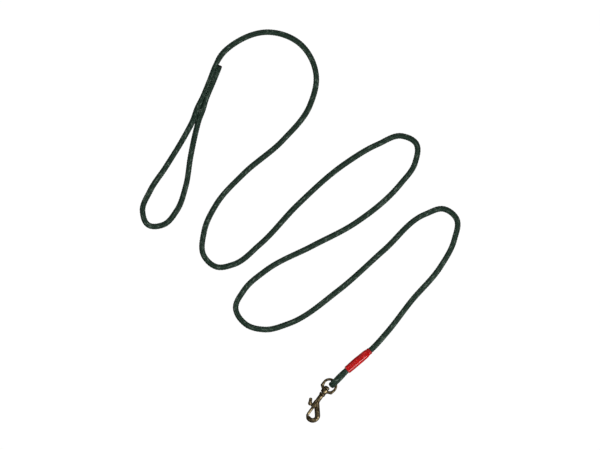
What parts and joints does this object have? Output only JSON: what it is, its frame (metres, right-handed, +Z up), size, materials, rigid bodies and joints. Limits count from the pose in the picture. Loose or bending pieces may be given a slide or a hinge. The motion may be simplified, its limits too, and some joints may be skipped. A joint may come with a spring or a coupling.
{
  "type": "lead rope",
  "caption": "Braided rope lead with a sewn hand loop at one end and a swivel bolt snap at the other, for leading and tying a horse.",
  "frame": {"origin": "under the middle of the bolt snap, on the surface that the lead lies on", "axes": "+Y along the snap, from its hook to its swivel eye, +Z up from the surface, +X towards the hook's open side; the rope lies to -X and +Y"},
  "size_m": [0.4548, 0.4484, 0.0151],
  "materials": {
    "rope": "braided polyester cover, satin",
    "core": "straight filler yarns",
    "thread": "waxed thread",
    "sleeve": "glossy heat-shrink tube",
    "old_brass": "antique brass plating, worn on the edges",
    "bolt_brass": "antique brass plating, rubbed by use",
    "spring_steel": "drawn wire"
  },
  "bodies": {
    "lead": {"rope_cover": "rope", "rope_core": "core", "handle_stitching": "thread", "clip_end_stitching": "thread", "shrink_sleeve": "sleeve"},
    "eye": {"swivel_eye": "old_brass"},
    "snap": {"snap_body": "old_brass", "bolt_spring": "spring_steel"},
    "gate": {"bolt": "bolt_brass", "thumb_stud": "bolt_brass"}
  },
  "joints": [
    {"name": "ring_tilt", "type": "hinge", "parent": "lead", "child": "eye", "pos_m": [0.00179, 0.03363, 0.00755], "axis": [0.9397, -0.3413, -0.0229], "range_deg": [-110, 110]},
    {"name": "swivel_spin", "type": "hinge", "parent": "eye", "child": "snap", "pos_m": [-0.0028, 0.00171, 0.00541], "axis": [0, 0.9978, 0.0668], "continuous": true},
    {"name": "bolt_slide", "type": "slide", "parent": "snap", "child": "gate", "axis": [0, 0.9978, 0.0668], "range_m": [0, 0.008], "stiffness_N_per_m": 350, "springref_m": -0.006, "deforming": ["bolt_spring"]}
  ]
}
